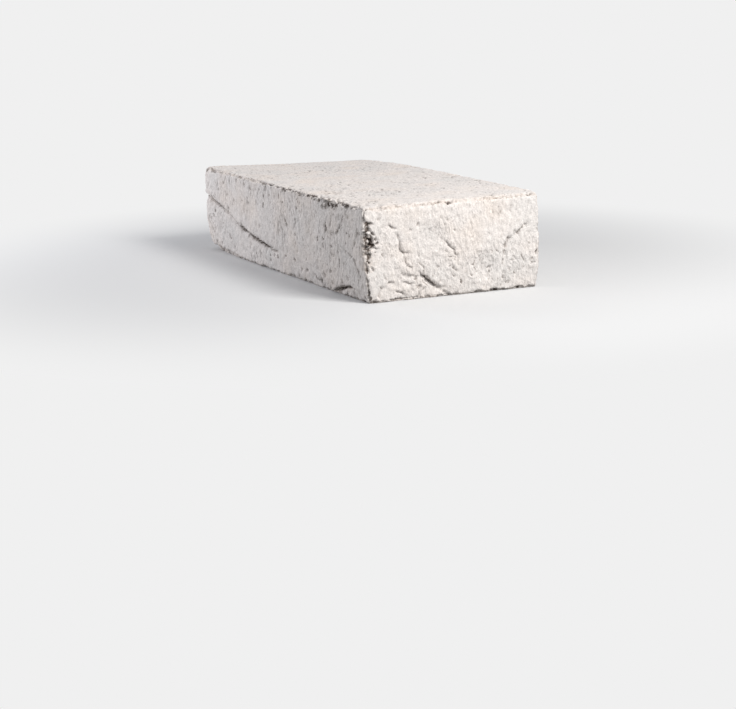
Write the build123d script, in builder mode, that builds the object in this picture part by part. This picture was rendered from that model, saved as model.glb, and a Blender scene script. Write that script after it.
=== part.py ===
"""Hand-moulded facing brick: one solid of fired clay, with bulged sides, rolled arrises and folded faces.

X runs along the stretcher, Y across the header and Z up from the lower bed, which lies on Z = 0.
The origin is at the middle of the lower bed. The best faces are the stretcher at -Y and the header at +X,
which meet in the near arris. A fold is where a lap of wet clay closed over the clay below it in the mould:
a steep lip on one side of the crease, and a tucked slope on the other that runs back out to the face.
"""

import os

from build123d import *

# Overall size
LENGTH = 210.0
WIDTH = 103.0
HEIGHT = 50.0

# The sides bulge a little between the beds, and are fullest at this height
WAIST_HEIGHT = 23.0

# How far each corner of the plan stands inside the overall size, along X and along Y.
# The corners run round from the far front one: far front, near front, near back, far back.
BED_INSETS = ((1.0, 2.2), (0.7, 3.0), (0.6, 1.8), (1.6, 1.6))
WAIST_INSETS = ((0.2, 0.4), (0.4, 0.6), (0.2, 0.9), (0.6, 0.9))
TOP_INSETS = ((0.4, 0.6), (1.8, 0.4), (0.6, 0.6), (1.0, 1.0))

# The upper bed winds: how far each of its corners lies below the overall height, in the same order
TOP_DROPS = (0.9, 1.4, 0.0, 3.4)

# Rolled arrises
CORNER_RADIUS = 2.8
TOP_ARRIS_RADIUS = 2.2
BED_ARRIS_RADIUS = 2.4

# Room that a cutting shape has outside the brick
CUT_MARGIN = 3.0

# Routes of the folds. Each point gives the place along the face, the height above the bed, the depth of
# the crease below the overall plane of the face, and how far the slope reaches from the lip.
FADED = 0.05

# Main fold of the stretcher, from its far end
MAIN_FOLD = (
    (-6.0, 34.2, 2.8, 9.0),
    (10.0, 32.2, 2.8, 9.0),
    (30.0, 28.3, 3.0, 8.5),
    (52.0, 21.3, 3.6, 8.5),
    (72.0, 17.5, 3.2, 7.5),
    (90.0, 14.9, 2.4, 6.0),
    (102.0, 13.0, FADED, 4.0),
)

# The same fold where it carries on round the far header, from the back of the brick
WRAP_FOLD = (
    (44.0, 35.4, FADED, 5.0),
    (60.0, 35.6, 1.8, 6.0),
    (80.0, 34.6, 2.8, 8.0),
    (93.0, 33.9, 2.8, 9.0),
    (106.0, 33.4, 2.8, 9.0),
)

# Curved crease of the stretcher beside the near arris, back from the near end
CORNER_CREASE = (
    (-33.0, 26.2, FADED, 2.5),
    (-23.5, 24.4, 1.6, 3.0),
    (-15.5, 20.4, 1.9, 3.0),
    (-10.5, 13.5, FADED, 2.5),
)

# Flap of clay on the lower arris of the stretcher, back from the near end
FLAP = (
    (-46.0, 1.2, FADED, 3.0),
    (-38.0, 3.0, 3.6, 4.5),
    (-29.0, 5.2, 4.6, 5.5),
    (-20.5, 6.2, 4.6, 5.5),
    (-14.5, 2.5, 3.0, 4.0),
    (-12.0, -0.5, FADED, 3.0),
)

# Long fold of the header, from the near arris
HEADER_FOLD = (
    (15.0, 42.0, FADED, 3.5),
    (19.5, 33.0, 1.9, 4.0),
    (22.5, 23.5, 2.2, 4.5),
    (28.5, 15.5, 2.6, 5.0),
    (37.0, 9.0, 3.2, 5.5),
    (45.0, 3.0, 3.2, 5.5),
    (51.0, -2.0, 3.2, 5.5),
)

# Short crease in the middle of the header, from the near arris
HEADER_CREASE = (
    (46.0, 31.5, FADED, 2.0),
    (50.0, 27.5, 1.2, 3.0),
    (52.5, 23.0, 1.3, 3.0),
    (53.5, 18.0, FADED, 2.0),
)

# Crease of the header towards its back end, forward from that end
END_CREASE = (
    (-13.0, 30.0, FADED, 3.0),
    (-20.5, 22.5, 1.5, 4.0),
    (-23.5, 13.0, 1.9, 4.0),
    (-23.5, 3.0, FADED, 3.0),
)

# Fold of the back stretcher, from its near end
BACK_FOLD = (
    (60.0, 39.0, FADED, 5.0),
    (80.0, 36.0, 2.2, 6.5),
    (104.0, 29.0, 2.8, 7.0),
    (126.0, 23.0, 2.2, 6.0),
    (142.0, 20.5, FADED, 5.0),
)

# How far under its lip a crease reaches, as a share of its depth
LIP_UNDERCUT = 0.25

# Shallow hollows that the mould pressed into the faces: place along the face, height above the bed,
# radius of the scoop and its depth below the overall plane of the face
FAR_HOLLOWS = ((66.0, 32.0, 34.0, 1.5), (112.0, 26.0, 34.0, 1.5))
NEAR_HOLLOWS = ((-62.0, 31.0, 34.0, 1.4),)
HEADER_HOLLOWS = ((38.0, 32.0, 28.0, 1.7), (68.0, 14.0, 26.0, 1.5))

# Chips: place along the arris, radius of the scoop, and how deep it bites into the arris
NEAR_ARRIS_CHIPS = ((40.0, 5.0, 2.6), (31.5, 7.0, 3.2), (19.0, 5.0, 2.4))
TOP_FRONT_CHIPS = ((-74.0, 6.0, 2.0), (-40.0, 7.0, 2.4))
BED_HEADER_CHIPS = ((70.0, 6.0, 1.8), (90.0, 5.0, 1.8))


def draw_plan(height, insets):
    """Draw the plan of the brick at one height."""
    signs = ((-1, -1), (1, -1), (1, 1), (-1, 1))
    corners = [
        (sx * (LENGTH / 2 - inset_x), sy * (WIDTH / 2 - inset_y))
        for (sx, sy), (inset_x, inset_y) in zip(signs, insets)
    ]
    with BuildSketch(Plane.XY.offset(height)) as plan:
        with BuildLine():
            Polyline(*corners, close=True)
        make_face()
    return plan.sketch


def fold_cutter(face, route):
    """Make the shape that a fold takes out of a face: a loft through a section at each point of its route.

    The lip is on the left of the route, seen from outside.
    """
    points = [face.from_local_coords((along, up, 0)) for along, up, depth, reach in route]
    sections = []
    for index, (along, up, depth, reach) in enumerate(route):
        ahead = points[min(index + 1, len(points) - 1)]
        behind = points[max(index - 1, 0)]
        tangent = ahead - behind
        across = face.z_dir.cross(tangent)
        with BuildSketch(Plane(points[index], x_dir=across, z_dir=tangent)) as section:
            with BuildLine():
                Polyline(
                    (0, CUT_MARGIN),
                    (0, 0),
                    (LIP_UNDERCUT * depth, -depth),
                    (-reach, 0),
                    (-reach, CUT_MARGIN),
                    close=True,
                )
            make_face()
        sections.append(section.sketch)
    with BuildPart() as cutter:
        loft(sections)
    return cutter.part


def hollow_centres(face, hollows):
    """Give the centre and radius of each scoop, standing off the face so that it sinks to its depth."""
    return [
        (face.from_local_coords((along, up, radius - depth)), radius)
        for along, up, radius, depth in hollows
    ]


def chip_centres(corner, along, outward, chips):
    """Give the centre and radius of each scoop, standing off the arris so that it bites to its depth."""
    run, out = Vector(along), Vector(outward).normalized()
    return [(corner + run * place + out * (radius - bite), radius) for place, radius, bite in chips]


# Faces that folds are measured on: X along the face, Y up, Z out of the clay
stretcher_far = Plane((-LENGTH / 2, -WIDTH / 2, 0), x_dir=(1, 0, 0), z_dir=(0, -1, 0))
stretcher_near = Plane((LENGTH / 2, -WIDTH / 2, 0), x_dir=(1, 0, 0), z_dir=(0, -1, 0))
header_near = Plane((LENGTH / 2, -WIDTH / 2, 0), x_dir=(0, 1, 0), z_dir=(1, 0, 0))
header_back = Plane((LENGTH / 2, WIDTH / 2, 0), x_dir=(0, 1, 0), z_dir=(1, 0, 0))
far_header = Plane((-LENGTH / 2, WIDTH / 2, 0), x_dir=(0, -1, 0), z_dir=(-1, 0, 0))
back_stretcher = Plane((LENGTH / 2, WIDTH / 2, 0), x_dir=(-1, 0, 0), z_dir=(0, 1, 0))

folds = [
    fold_cutter(stretcher_far, MAIN_FOLD),
    fold_cutter(far_header, WRAP_FOLD),
    fold_cutter(stretcher_near, CORNER_CREASE),
    fold_cutter(stretcher_near, FLAP),
    fold_cutter(header_near, HEADER_FOLD),
    fold_cutter(header_near, HEADER_CREASE),
    fold_cutter(header_back, END_CREASE),
    fold_cutter(back_stretcher, BACK_FOLD),
]

hollows = [
    *hollow_centres(stretcher_far, FAR_HOLLOWS),
    *hollow_centres(stretcher_near, NEAR_HOLLOWS),
    *hollow_centres(header_near, HEADER_HOLLOWS),
]

# Arrises that chips bite into: a point on each, the way along it and the way out of the clay
near_corner = Vector(LENGTH / 2, -WIDTH / 2, 0)
near_top = Vector(LENGTH / 2, -WIDTH / 2, HEIGHT)
chips = [
    *chip_centres(near_corner, (0, 0, 1), (1, -1, 0), NEAR_ARRIS_CHIPS),
    *chip_centres(near_top, (1, 0, 0), (0, -1, 1), TOP_FRONT_CHIPS),
    *chip_centres(near_corner, (0, 1, 0), (1, 0, -1), BED_HEADER_CHIPS),
]

# What is struck off above the upper bed, so that the bed winds from corner to corner
far_front_drop, near_front_drop, near_back_drop, far_back_drop = TOP_DROPS
with BuildPart() as struck:
    for end, front_drop, back_drop in (
        (-1, far_front_drop, far_back_drop),
        (1, near_front_drop, near_back_drop),
    ):
        with BuildSketch(Plane.YZ.offset(end * (LENGTH / 2 + CUT_MARGIN))):
            side = WIDTH / 2 + CUT_MARGIN
            with BuildLine():
                Polyline(
                    (-side, HEIGHT - front_drop),
                    (side, HEIGHT - back_drop),
                    (side, HEIGHT + 2 * CUT_MARGIN),
                    (-side, HEIGHT + 2 * CUT_MARGIN),
                    close=True,
                )
            make_face()
    loft(ruled=True)

with BuildPart() as brick:
    loft(
        [
            draw_plan(0, BED_INSETS),
            draw_plan(WAIST_HEIGHT, WAIST_INSETS),
            draw_plan(HEIGHT + CUT_MARGIN, TOP_INSETS),
        ]
    )
    add(struck.part, mode=Mode.SUBTRACT)
    bed = brick.faces().sort_by(Axis.Z)[0]
    upper_bed = brick.faces().sort_by(Axis.Z)[-1]
    corners = brick.edges() - bed.edges() - upper_bed.edges()
    fillet(corners, CORNER_RADIUS)
    fillet(brick.faces().sort_by(Axis.Z)[-1].edges(), TOP_ARRIS_RADIUS)
    fillet(brick.faces().sort_by(Axis.Z)[0].edges(), BED_ARRIS_RADIUS)
    for fold in folds:
        add(fold, mode=Mode.SUBTRACT)
    for centre, radius in hollows + chips:
        with Locations(centre):
            Sphere(radius, mode=Mode.SUBTRACT)

brick.part.label = "brick"
os.makedirs("parts", exist_ok=True)
export_step(brick.part, "parts/brick.step")
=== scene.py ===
"""Dress a hand-moulded facing brick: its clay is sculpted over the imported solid, finished and lit.

The brick is sculpted in millimetres. Its mesh is written in metres, which the studio is set up in too.
Places on the sides of the brick are given as (around, up): the distance round the brick from its far front
arris, first along the front stretcher, then the near header, the back stretcher and the far header, and the
height above the lower bed.
"""

import logging
import math
from dataclasses import Field, dataclass, field
from enum import Enum

import bmesh
import bpy
import numpy as np
from mathutils import Matrix, Vector, noise

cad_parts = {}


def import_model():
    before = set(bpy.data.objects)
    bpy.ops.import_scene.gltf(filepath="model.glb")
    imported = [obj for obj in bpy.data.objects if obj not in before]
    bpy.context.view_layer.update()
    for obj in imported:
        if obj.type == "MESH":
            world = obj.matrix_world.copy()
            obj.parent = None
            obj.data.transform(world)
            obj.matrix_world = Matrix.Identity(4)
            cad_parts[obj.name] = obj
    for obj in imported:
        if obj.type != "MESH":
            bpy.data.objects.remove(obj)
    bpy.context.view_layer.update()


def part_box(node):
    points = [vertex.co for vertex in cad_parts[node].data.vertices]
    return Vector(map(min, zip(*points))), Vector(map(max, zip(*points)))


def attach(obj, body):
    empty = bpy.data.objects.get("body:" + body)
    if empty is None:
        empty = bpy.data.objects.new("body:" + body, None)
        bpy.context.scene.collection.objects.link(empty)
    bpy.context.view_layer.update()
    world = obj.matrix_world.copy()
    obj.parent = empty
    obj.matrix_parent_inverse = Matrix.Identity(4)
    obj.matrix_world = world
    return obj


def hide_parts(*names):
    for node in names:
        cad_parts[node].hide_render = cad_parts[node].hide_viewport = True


LOG = logging.getLogger("facing_brick")
MM = 0.001
IMAGE_WIDTH = 736
IMAGE_HEIGHT = 709

# How far apart random fields of different seeds lie. Each finer layer of a field is half as large and
# half as high as the one before.
SEED_STEP = np.array((17.31, 5.17, 9.73))
LAYER_FADE = 1.0
LAYER_SCALE = 2.0

Place = tuple[float, float, float]
Pair = tuple[float, float]


def linear(colour: str) -> tuple[float, float, float, float]:
    """Turn an sRGB hex colour into a linear one.

    Args:
        colour: the colour as "#RRGGBB".

    Returns:
        Linear red, green, blue and an alpha of one.
    """
    shares = [int(colour[start:start + 2], 16) / 255 for start in (1, 3, 5)]
    red, green, blue = (s / 12.92 if s <= 0.04045 else ((s + 0.055) / 1.055) ** 2.4 for s in shares)
    return red, green, blue, 1.0


def add_node(
    tree: bpy.types.NodeTree, kind: str, settings: dict | None = None, **inputs: object
) -> bpy.types.Node:
    """Add a shader node with its settings, values and links.

    Args:
        tree: the node tree that gets the node.
        kind: the node's Blender type.
        settings: properties of the node itself.
        inputs: a value or an output socket for each input, by its name with underscores, or by _number.

    Returns:
        The new node.
    """
    node = tree.nodes.new(kind)
    for name, value in (settings or {}).items():
        setattr(node, name, value)
    for name, value in inputs.items():
        socket = node.inputs[int(name[1:])] if name.startswith("_") else node.inputs[name.replace("_", " ")]
        if isinstance(value, bpy.types.NodeSocket):
            tree.links.new(value, socket)
        else:
            socket.default_value = value
    return node


def random_field(points: np.ndarray, size: float, octaves: int = 1, seed: int = 0) -> np.ndarray:
    """Give a smooth random value from about -1 to 1 at each point.

    Args:
        points: places in millimetres, three numbers each.
        size: how far apart the field's highs and lows lie, in millimetres.
        octaves: how many layers it has, each finer than the one before.
        seed: which of the fields it is.

    Returns:
        One value for each point.
    """
    scaled = (points / size + seed * SEED_STEP).tolist()
    if octaves == 1:
        return np.array([noise.noise(point) for point in scaled])
    return np.array([noise.fractal(point, LAYER_FADE, LAYER_SCALE, octaves) for point in scaled])


def ease(values: np.ndarray) -> np.ndarray:
    """Ease values from 0 to 1 in and out, and hold them at the ends."""
    held = np.clip(values, 0.0, 1.0)
    return held * held * (3.0 - 2.0 * held)


def ramp(values: np.ndarray, start: float, span: float) -> np.ndarray:
    """Ease from 0 at a start to 1 a span further on, or further down where the span is below 0."""
    return ease((values - start) / span)


def blend(share: np.ndarray, first: np.ndarray, second: np.ndarray) -> np.ndarray:
    """Go from the first value to the second as a share goes from 0 to 1."""
    return (1 - share) * first + share * second


def read_steps(places: np.ndarray, steps: tuple[Pair, ...]) -> np.ndarray:
    """Read the value at each place off straight lines through (place, value) steps."""
    return np.interp(places, *zip(*steps))


class Corner(Enum):
    """The brick's four upright corners, as the sides of X and Y that they stand on."""

    FAR_FRONT = (-1, -1)
    NEAR_FRONT = (1, -1)
    NEAR_BACK = (1, 1)
    FAR_BACK = (-1, 1)

    def weight(self, share_x: np.ndarray, share_y: np.ndarray) -> np.ndarray:
        """Give how much a place takes after this corner.

        Args:
            share_x: how far along the brick the place lies, from 0 to 1.
            share_y: how far across the brick the place lies, from 0 to 1.

        Returns:
            A weight from 0 to 1. The weights of the four corners add up to 1.
        """
        side_x, side_y = self.value
        along = share_x if side_x > 0 else 1 - share_x
        across = share_y if side_y > 0 else 1 - share_y
        return along * across


def by_corner(*values: object) -> Field:
    """Make a dataclass field of one value for each corner, in the order of Corner."""
    return field(default_factory=lambda: dict(zip(Corner, values)))


@dataclass(frozen=True)
class Fold:
    """A lap of wet clay that closed over the clay beside it in the mould.

    Attributes:
        route: points (around, up, strength) of the crease, with the lip on the left, seen from outside.
        depth: how deep the crease is at full strength.
        reach: how far from the lip the tucked clay rolls back out to the face.
        lip: how far the lap stands proud at its lip.
        overhang: how far the lip leans over the crease.
        pinch: how far the lip rolls into the crease too, as a share of its depth.
        dark: how dark the crease is painted, as painted shade in the dark clay's colour, from 0 to 1.
        broken: how much the crease comes and goes along its route, from 0 to about 1.
        slit: how deep the crease stays open beside the lip, as a share of its depth.
        gape: how wide the crease stays open beside the lip.
        lip_fade: how far from the crease the lip sinks back to the face.
        lip_roll: how far from the crease a pinched lip rolls in, as a share of the reach.
        lean_fade: how far from the crease the lean of the lip dies away.
        gape_fade: how far from the crease its gape dies away.
        slit_width: how wide the slit is.
        shade_width: how wide the painted shade reaches below the lip.
        gape_shade: how much wider that gets, as a share of the gape.
        lip_shade: how much of the painted shade shows on the lip itself.
        lip_shade_width: how wide it shows there.
    """

    route: tuple[Place, ...]
    depth: float
    reach: float
    lip: float = 0.5
    overhang: float = 0.2
    pinch: float = 0.55
    dark: float = 0.25
    broken: float = 0.9
    slit: float = 0.0
    gape: float = 0.0
    lip_fade: float = 6.0
    lip_roll: float = 0.35
    lean_fade: float = 1.6
    gape_fade: float = 2.5
    slit_width: float = 1.5
    shade_width: float = 1.1
    gape_shade: float = 0.35
    lip_shade: float = 0.4
    lip_shade_width: float = 0.5

    def lift(self, gap: np.ndarray, snapped: np.ndarray, on_lip: np.ndarray) -> np.ndarray:
        """Give how far the clay moves outwards beside the crease, at full strength.

        Args:
            gap: how far from the crease each place lies.
            snapped: the same, with the nearest places on the crease itself.
            on_lip: whether each place is on the side of the lip.

        Returns:
            The way outwards at each place, below 0 where the clay is tucked in.
        """
        roll = np.clip(1 - gap / self.reach, 0, 1)
        lip_roll = np.clip(1 - gap / (self.lip_roll * self.reach), 0, 1)
        tucked = (1 - self.pinch) * (1 - np.sqrt(1 - roll**2)) + self.pinch * roll**2
        sunk = self.depth * (tucked + self.slit * np.exp(-((snapped / self.slit_width) ** 2)))
        raised = self.lip * np.exp(-gap / self.lip_fade) - self.pinch * self.depth * lip_roll**2
        return np.where(on_lip, raised, -sunk)

    def lean(self, gap: np.ndarray, on_lip: np.ndarray) -> np.ndarray:
        """Give how far the clay moves to the left of the route, at full strength.

        Args:
            gap: how far from the crease each place lies.
            on_lip: whether each place is on the side of the lip.

        Returns:
            The way to the left at each place.
        """
        hung_over = self.overhang * np.exp(-gap / self.lean_fade)
        held_open = self.gape * np.exp(-gap / self.gape_fade)
        return -np.where(on_lip, hung_over, held_open)

    def shade_and_core(self, snapped: np.ndarray, on_lip: np.ndarray) -> np.ndarray:
        """Give how dark the crease is painted beside the lip, as painted shade in the dark clay's colour, at
        full strength.

        Args:
            snapped: how far from the crease each place lies, with the nearest ones on it.
            on_lip: whether each place is on the side of the lip.

        Returns:
            A share from 0 to 1 at each place.
        """
        width = self.shade_width + self.gape_shade * self.gape
        lip_shade = self.lip_shade * np.exp(-snapped / self.lip_shade_width)
        return np.where(on_lip, lip_shade, np.exp(-((snapped / width) ** 2)))


@dataclass(frozen=True)
class Scoop:
    """A place where clay broke off or was pressed in, with a ragged outline.

    Attributes:
        place: its middle on the plain block, as x, y and z.
        spread: how far it reaches along x, y and z.
        depth: how deep it is.
        ragged: how much its outline wanders, as a share of its spread.
        rim: how far the ragged outline may wander out, as a share of its spread.
        floor: how rough its floor is, as a share of its depth.
        dark_depth: how deep it has to be to be painted fully dark, with dark core clay and painted shade.
    """

    place: Place
    spread: Place
    depth: float
    ragged: float = 0.45
    rim: float = 1.7
    floor: float = 0.9
    dark_depth: float = 1.4


@dataclass(frozen=True)
class Wear:
    """How badly an arris is worn, each as (place, value) steps along it.

    Attributes:
        depth: how deep clay crumbled off.
        reach: how far from the arris that goes.
        often: how much of the arris has crumbled: about half of it at 0, and nearly all at 1.
        dark: how much dark core clay and painted shade show there, from 0 to 1.
    """

    depth: tuple[Pair, ...]
    reach: tuple[Pair, ...]
    often: tuple[Pair, ...]
    dark: tuple[Pair, ...]


# Folds and creases of the front stretcher
FAR_NOTCH = Fold(
    route=(
        (-58, 35.4, 0.0), (-40, 35.4, 0.6), (-20, 34.4, 0.8), (-6, 33.6, 1.0), (0, 33.2, 1.0),
        (8, 32.4, 0.8), (16, 31.2, 0.4), (26, 29.2, 0.0),
    ),
    depth=2.8, reach=7.0, lip=0.2, pinch=0.9, broken=0.3,
)
MAIN_FOLD = Fold(
    route=(
        (3, 33.4, 0.0), (9, 32.4, 0.7), (22.5, 30.0, 0.75), (30, 28.3, 0.8), (37.5, 25.9, 0.8),
        (45, 23.4, 0.85), (52.5, 21.2, 1.2), (59.5, 19.8, 0.9), (67, 18.3, 1.3), (76, 17.1, 1.3),
        (84.5, 16.1, 1.1), (91.5, 14.6, 0.9), (98, 13.6, 0.6), (103, 12.8, 0.0),
    ),
    depth=3.6, reach=9.0, lip=0.9, pinch=0.1, dark=1.0, broken=0.3, slit=0.5, gape=3.0,
)
CORNER_CREASE = Fold(
    route=(
        (174, 27.4, 0.0), (183.4, 25.9, 0.5), (191.0, 24.0, 0.8), (194.0, 22.8, 0.6),
        (197.5, 20.2, 1.0), (199.3, 18.0, 1.1), (200.6, 16.0, 0.9), (201.6, 13.0, 0.0),
    ),
    depth=2.0, reach=3.4, lip=0.3, pinch=0.85, dark=1.0, broken=0.5,
)
SHORT_CREASE = Fold(
    route=(
        (176.6, 31.8, 0.0), (178.8, 33.8, 1.1), (180.4, 35.2, 0.4), (181.9, 36.7, 1.1),
        (184.2, 40.0, 0.0),
    ),
    depth=1.1, reach=2.4, lip=0.2, pinch=0.8, dark=0.7, broken=0.8,
)
LOWER_LAP = Fold(
    route=(
        (144.5, 6.4, 0.0), (148.5, 6.0, 1.0), (152.5, 4.8, 1.1), (156.5, 3.2, 0.9), (160.0, 1.6, 0.0),
    ),
    depth=1.8, reach=3.0, pinch=0.4, dark=0.9, broken=0.8, slit=0.2, gape=0.4,
)
LOWER_FLAP = Fold(
    route=(
        (166, 0.3, 0.0), (172.8, 2.5, 0.9), (178.7, 4.7, 1.1), (187.5, 7.2, 1.1), (192.3, 7.0, 1.1),
        (195.3, 5.4, 1.0), (198, 1.0, 0.2),
    ),
    depth=3.2, reach=5.0, lip=0.8, overhang=0.3, pinch=0.1, dark=0.9, broken=0.3, slit=0.3, gape=0.8,
)

# Folds, creases and laps of the near header
HEADER_FOLD_HEAD = Fold(
    route=((223.6, 40.6, 0.0), (225.1, 39.4, 1.0), (226.7, 38.4, 1.2), (229.2, 37.4, 0.0)),
    depth=1.3, reach=2.8, pinch=0.7, dark=0.4,
)
HEADER_FOLD_NECK = Fold(
    route=(
        (228.4, 35.8, 0.0), (229.0, 34.0, 1.0), (230.2, 31.3, 0.9), (230.5, 28.0, 1.2),
        (232.5, 25.5, 1.1), (234.8, 24.5, 0.6), (237.0, 24.2, 0.0),
    ),
    depth=1.2, reach=5.0, lip=0.25, overhang=0.1, pinch=0.7, dark=0.35, broken=0.7,
)
HEADER_FOLD_HIP = Fold(
    route=(
        (232.9, 23.2, 0.0), (233.1, 21.2, 1.0), (234.0, 18.9, 1.1), (235.4, 17.6, 1.0),
        (238.6, 16.8, 0.0),
    ),
    depth=1.15, reach=4.0, lip=0.25, overhang=0.1, pinch=0.7, dark=0.35, broken=0.7,
)
HEADER_FOLD_FOOT = Fold(
    route=(
        (238.4, 15.8, 0.0), (241.0, 14.0, 0.4), (243.0, 12.4, 1.1), (246.3, 9.9, 1.3), (248.3, 7.8, 1.2),
        (251.6, 5.6, 0.8), (254.0, 4.2, 0.3), (257.0, 1.2, 0.5), (260.5, -1.0, 0.4),
    ),
    depth=2.0, reach=4.8, lip=0.6, pinch=0.4, dark=0.75, broken=0.5, slit=0.2, gape=0.5,
)
HEADER_CREASE = Fold(
    route=(
        (253.0, 31.2, 0.0), (257.5, 27.8, 0.9), (260.6, 24.8, 0.8), (262.1, 21.8, 0.9),
        (264.4, 19.2, 0.0),
    ),
    depth=1.0, reach=3.6, lip=0.3, pinch=0.7,
)
HEADER_NICK = Fold(
    route=((256.0, 22.2, 0.0), (259.0, 20.6, 0.8), (263.0, 19.8, 0.0)),
    depth=0.8, reach=2.2, lip=0.2, pinch=0.8,
)
HEADER_LAP_TOP = Fold(
    route=((220.8, 7.6, 0.0), (221.8, 9.2, 1.0), (223.4, 10.2, 1.1), (226.6, 9.2, 0.0)),
    depth=1.05, reach=3.4, lip=0.45, pinch=0.7, dark=0.3, broken=0.4,
)
HEADER_LAP_BACK = Fold(
    route=((229.0, 10.6, 0.0), (232.0, 9.6, 0.9), (235.0, 8.6, 1.0), (238.6, 8.6, 0.0)),
    depth=1.0, reach=4.0, lip=0.45, pinch=0.8, dark=0.2, broken=0.4,
)
HEADER_LAP_FOOT = Fold(
    route=((225.0, 6.2, 0.0), (227.6, 5.2, 1.0), (230.3, 3.8, 0.9), (233.0, 1.6, 0.0)),
    depth=1.05, reach=3.6, lip=0.45, pinch=0.7, dark=0.3, broken=0.4,
)
HEADER_LAP_FRONT = Fold(
    route=((214.4, 1.6, 0.0), (215.4, 4.2, 1.0), (217.4, 6.6, 1.0), (219.6, 7.8, 0.0)),
    depth=1.0, reach=3.2, lip=0.45, pinch=0.7, dark=0.3, broken=0.4,
)
HEADER_LAP_HIGH = Fold(
    route=((228.0, 14.4, 0.0), (232.0, 13.4, 0.7), (238.0, 12.6, 0.8), (241.0, 11.0, 0.0)),
    depth=0.9, reach=4.0, lip=0.4, pinch=0.9, dark=0.15, broken=0.6,
)
END_CREASE = Fold(
    route=(
        (288.6, 11.0, 0.0), (289.4, 14.5, 1.0), (290.6, 20.3, 1.2), (291.0, 23.8, 1.2),
        (293.3, 27.0, 0.9), (298.3, 29.6, 0.7), (302.9, 33.2, 0.6), (306.0, 36.4, 0.0),
    ),
    depth=1.5, reach=4.6, lip=0.3, pinch=0.85, dark=0.45,
)
END_CREASE_FOOT = Fold(
    route=((287.6, 1.0, 0.0), (288.4, 3.6, 0.9), (289.6, 6.8, 1.0), (289.0, 11.0, 0.0)),
    depth=1.9, reach=3.6, pinch=0.8, dark=0.5,
)

# Fold and laps of the back stretcher and the far header
BACK_FOLD = Fold(
    route=(
        (366, 40.0, 0.0), (380, 37.5, 0.7), (397, 34.2, 1.0), (414, 29.0, 1.0), (434, 23.6, 0.8),
        (454, 21, 0.0),
    ),
    depth=2.4, reach=7.5, lip=0.6, overhang=0.4, pinch=0.3,
)
BACK_LAP = Fold(
    route=((466, 8.5, 0.0), (476, 10.6, 0.8), (486, 14.8, 1.0), (496, 17.0, 0.7), (506, 17.6, 0.0)),
    depth=1.5, reach=6.0, lip=0.4, pinch=0.7, broken=1.2,
)
FAR_LAP = Fold(
    route=((538, 20.0, 0.0), (548, 16.4, 0.8), (560, 14.4, 1.0), (572, 11.0, 0.8), (582, 9.5, 0.0)),
    depth=1.5, reach=6.0, lip=0.4, pinch=0.8, broken=1.2,
)
FOLDS = (
    FAR_NOTCH, MAIN_FOLD, CORNER_CREASE, SHORT_CREASE, LOWER_LAP, LOWER_FLAP,
    HEADER_FOLD_HEAD, HEADER_FOLD_NECK, HEADER_FOLD_HIP, HEADER_FOLD_FOOT, HEADER_CREASE, HEADER_NICK,
    HEADER_LAP_TOP, HEADER_LAP_BACK, HEADER_LAP_FOOT, HEADER_LAP_FRONT, HEADER_LAP_HIGH,
    END_CREASE, END_CREASE_FOOT, BACK_FOLD, BACK_LAP, FAR_LAP,
)

# Wear of the arrises: of the near one along its height, of the top front one along its length
NEAR_ARRIS_WEAR = Wear(
    depth=((0, 0.4), (12, 0.5), (20, 1.0), (24, 2.0), (31, 2.6), (35, 2.2), (42, 2.0), (47, 1.4), (50, 0.9)),
    reach=((0, 1.4), (20, 2.0), (24, 3.2), (29, 6.4), (35, 6.4), (37, 3.8), (48, 3.4), (50, 2.6)),
    often=((0, -0.3), (12, -0.1), (20, 0.3), (24, 0.9), (44, 1.0), (49, 0.8), (50, 0.6)),
    dark=((0, 1.0),),
)
TOP_FRONT_WEAR = Wear(
    depth=(
        (0, 0.5), (12, 0.5), (20, 0.15), (82, 0.2), (92, 0.5), (150, 0.5), (163, 1.2), (177, 1.2),
        (183, 0.5), (210, 0.5),
    ),
    reach=(
        (0, 3.0), (12, 3.0), (20, 1.6), (85, 1.6), (95, 2.2), (160, 2.2), (166, 5.6), (177, 5.6),
        (182, 2.2), (210, 2.0),
    ),
    often=((0, 0.25),),
    dark=((0, 0.35), (12, 0.4), (20, 0.2), (82, 0.3), (92, 0.8)),
)
OTHER_WEAR = Wear(depth=((0, 0.45),), reach=((0, 1.0),), often=((0, 0.1),), dark=((0, 0.25),))

# How ragged the outlines of marks are
CHIP_RAGGED = 0.6
PIT_RAGGED = 0.7
DASH_RAGGED = 0.4
SPOT_RAGGED = 0.5

# Chips of the near arris: height, reach along x, y and z, and depth
NEAR_ARRIS_CHIPS = (
    (47.6, (1.6, 1.8, 2.0), 1.2), (42.4, (1.8, 3.0, 4.4), 2.4), (38.2, (1.8, 3.0, 2.4), 2.0),
    (33.6, (2.4, 6.4, 2.0), 1.5), (30.4, (2.6, 6.4, 2.4), 1.7), (26.4, (2.8, 3.4, 2.8), 2.4),
    (18.6, (1.4, 2.0, 2.8), 1.4), (11.0, (1.0, 1.4, 3.4), 0.9),
)

# Chips of the top front arris: place along it, how far below it, length, height and depth
TOP_FRONT_CHIPS = (
    (88, 0.8, 2.0, 3.0, 1.0), (104, 0.6, 3.4, 1.6, 0.8), (112, 0.6, 2.4, 1.4, 0.6),
    (121, 0.6, 2.6, 1.6, 0.7), (134, 0.6, 4.4, 1.8, 0.9), (146, 0.6, 2.6, 1.8, 0.8),
    (150, 1.0, 3.0, 1.6, 0.9), (158, 1.4, 3.4, 2.0, 1.0), (166.5, 3.8, 3.0, 2.4, 1.5),
    (172.5, 2.6, 2.8, 2.2, 1.6), (169.5, 4.6, 2.4, 1.8, 1.1), (179, 0.4, 2.6, 1.6, 0.9),
    (185, 0.3, 3.0, 1.4, 0.8), (190, 2.0, 2.2, 1.8, 1.0), (200, 0.6, 2.6, 1.8, 0.9),
)

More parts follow.
